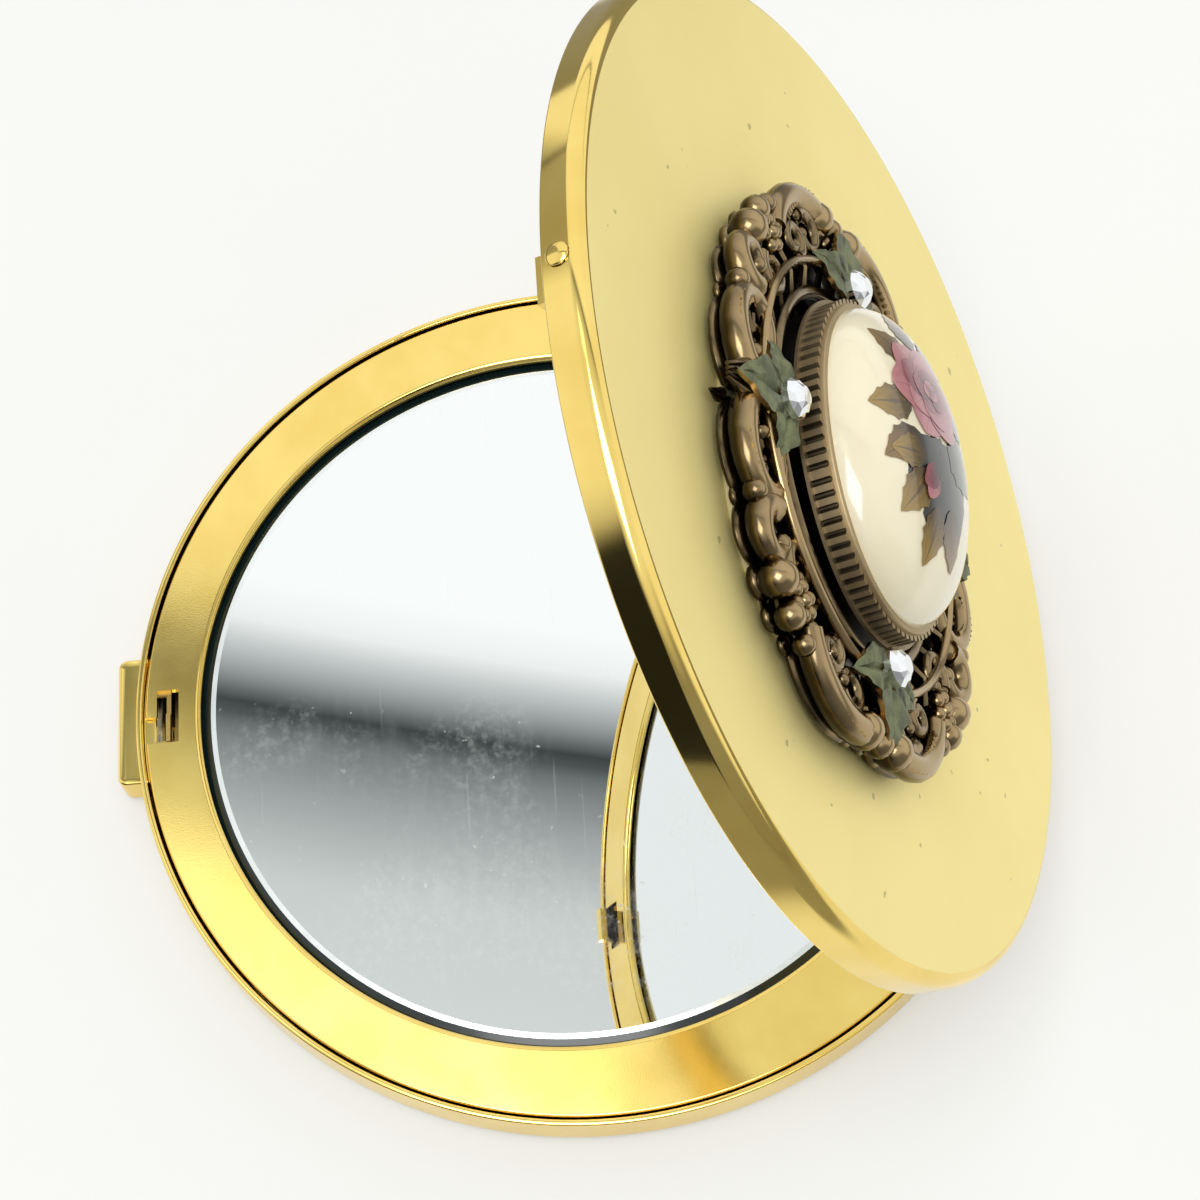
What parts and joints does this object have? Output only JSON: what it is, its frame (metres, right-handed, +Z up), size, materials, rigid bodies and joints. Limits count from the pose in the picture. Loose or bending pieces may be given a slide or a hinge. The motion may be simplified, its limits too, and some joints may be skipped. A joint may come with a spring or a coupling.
{
  "type": "compact mirror",
  "caption": "Round hinged pocket compact with facing bevelled mirrors, a push-button latch and a filigree ornament with a domed porcelain cabochon on the lid, shown open.",
  "frame": {"origin": "centre of the base's flat bottom face", "axes": "+Z up; the push button faces -Y and the hinge lies along X at +Y; the lid stands open at rest"},
  "size_m": [0.07, 0.0722, 0.0682],
  "materials": {
    "polished_gold": "bright gold-plated brass, polished",
    "satin_gold": "pale gold plating, satin on the face and polished on the wall",
    "mirror": "silvered float glass with a ground and polished bevel",
    "pad": "plain grey-brown board",
    "hinge_brass": "plain rolled brass",
    "steel": "drawn steel",
    "antique_brass": "darkened antique brass, rubbed bright on raised edges",
    "leaf_patina": "matt green paint worn to brass on the edges",
    "rhinestone": "clear cut glass with a foil back",
    "porcelain": "ivory glaze with a printed rose spray",
    "adhesive": "clear glossy glue, squeezed out at one side"
  },
  "bodies": {
    "base": {"base_shell": "polished_gold", "base_ring": "polished_gold", "base_mirror": "mirror", "base_mirror_pad": "pad", "base_hinge_leaf": "hinge_brass", "hinge_pin": "steel", "latch_guide": "hinge_brass", "button_spring": "steel"},
    "button": {"push_button": "polished_gold", "latch_bolt": "hinge_brass"},
    "lid": {"lid_shell": "satin_gold", "lid_ring": "polished_gold", "lid_mirror": "mirror", "lid_mirror_pad": "pad", "lid_hinge_leaf": "hinge_brass", "lid_catch": "polished_gold", "catch_rivet": "polished_gold", "ornament_adhesive": "adhesive", "filigree_lower": "antique_brass", "filigree_upper": "antique_brass", "ornament_rivet": "antique_brass", "cabochon_setting": "antique_brass", "cabochon": "porcelain", "leaf_sprig_front": "leaf_patina", "leaf_sprig_back": "leaf_patina", "leaf_sprig_left": "leaf_patina", "leaf_sprig_right": "leaf_patina", "rhinestone_front": "rhinestone", "rhinestone_back": "rhinestone", "rhinestone_left": "rhinestone", "rhinestone_right": "rhinestone"}
  },
  "joints": [
    {"name": "lid_hinge", "type": "hinge", "parent": "base", "child": "lid", "pos_m": [0, 0.0343, 0.0059], "axis": [-1, 0, 0], "range_deg": [-63.3, 66.7]},
    {"name": "button_slide", "type": "slide", "parent": "base", "child": "button", "axis": [0, 1, 0], "range_m": [0, 0.0006], "stiffness_N_per_m": 1500, "springref_m": -0.0006, "deforming": ["button_spring"]}
  ]
}
